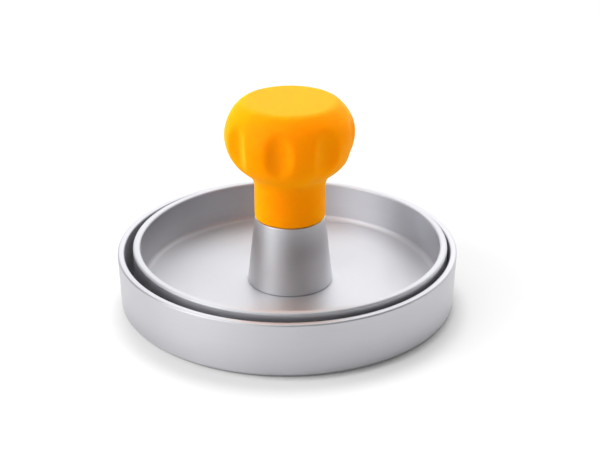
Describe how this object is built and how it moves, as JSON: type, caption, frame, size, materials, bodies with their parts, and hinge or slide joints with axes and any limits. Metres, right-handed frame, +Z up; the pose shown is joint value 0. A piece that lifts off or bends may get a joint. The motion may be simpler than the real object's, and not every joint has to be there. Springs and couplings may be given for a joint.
{
  "type": "burger press",
  "caption": "Hand burger press: a shallow round aluminium mould, and a pan-shaped press plate that lifts out and turns, with a conical metal stem and an orange fluted mushroom knob.",
  "frame": {"origin": "centre of the mould's underside, on the surface that it stands on", "axes": "+Z up along the mould's axis, +X to the right and -Y towards the viewer as pictured"},
  "size_m": [0.12, 0.12, 0.0735],
  "materials": {
    "mould_aluminium": "satin, finely turned",
    "plate_aluminium": "satin, finely turned",
    "stem_aluminium": "satin, fine vertical brushing",
    "gasket_silicone": "matt silicone",
    "grip_orange": "satin moulded plastic, faintly grained",
    "core_nylon": "plain moulding",
    "insert_brass": "turned",
    "screw_steel": "bright stainless"
  },
  "bodies": {
    "mould": {"mould_dish": "mould_aluminium"},
    "seal": {"stem_gasket": "gasket_silicone"},
    "press": {"press_plate": "plate_aluminium", "stem": "stem_aluminium", "grip": "grip_orange", "knob_core": "core_nylon", "threaded_insert": "insert_brass", "clamp_screw": "screw_steel"}
  },
  "joints": [
    {"name": "press_lift", "type": "slide", "parent": "mould", "child": "seal", "axis": [0, 0, 1], "range_m": [0, 0.045]},
    {"name": "press_turn", "type": "hinge", "parent": "seal", "child": "press", "pos_m": [0.001, 0, 0.0061], "axis": [0, 0, 1], "continuous": true}
  ]
}
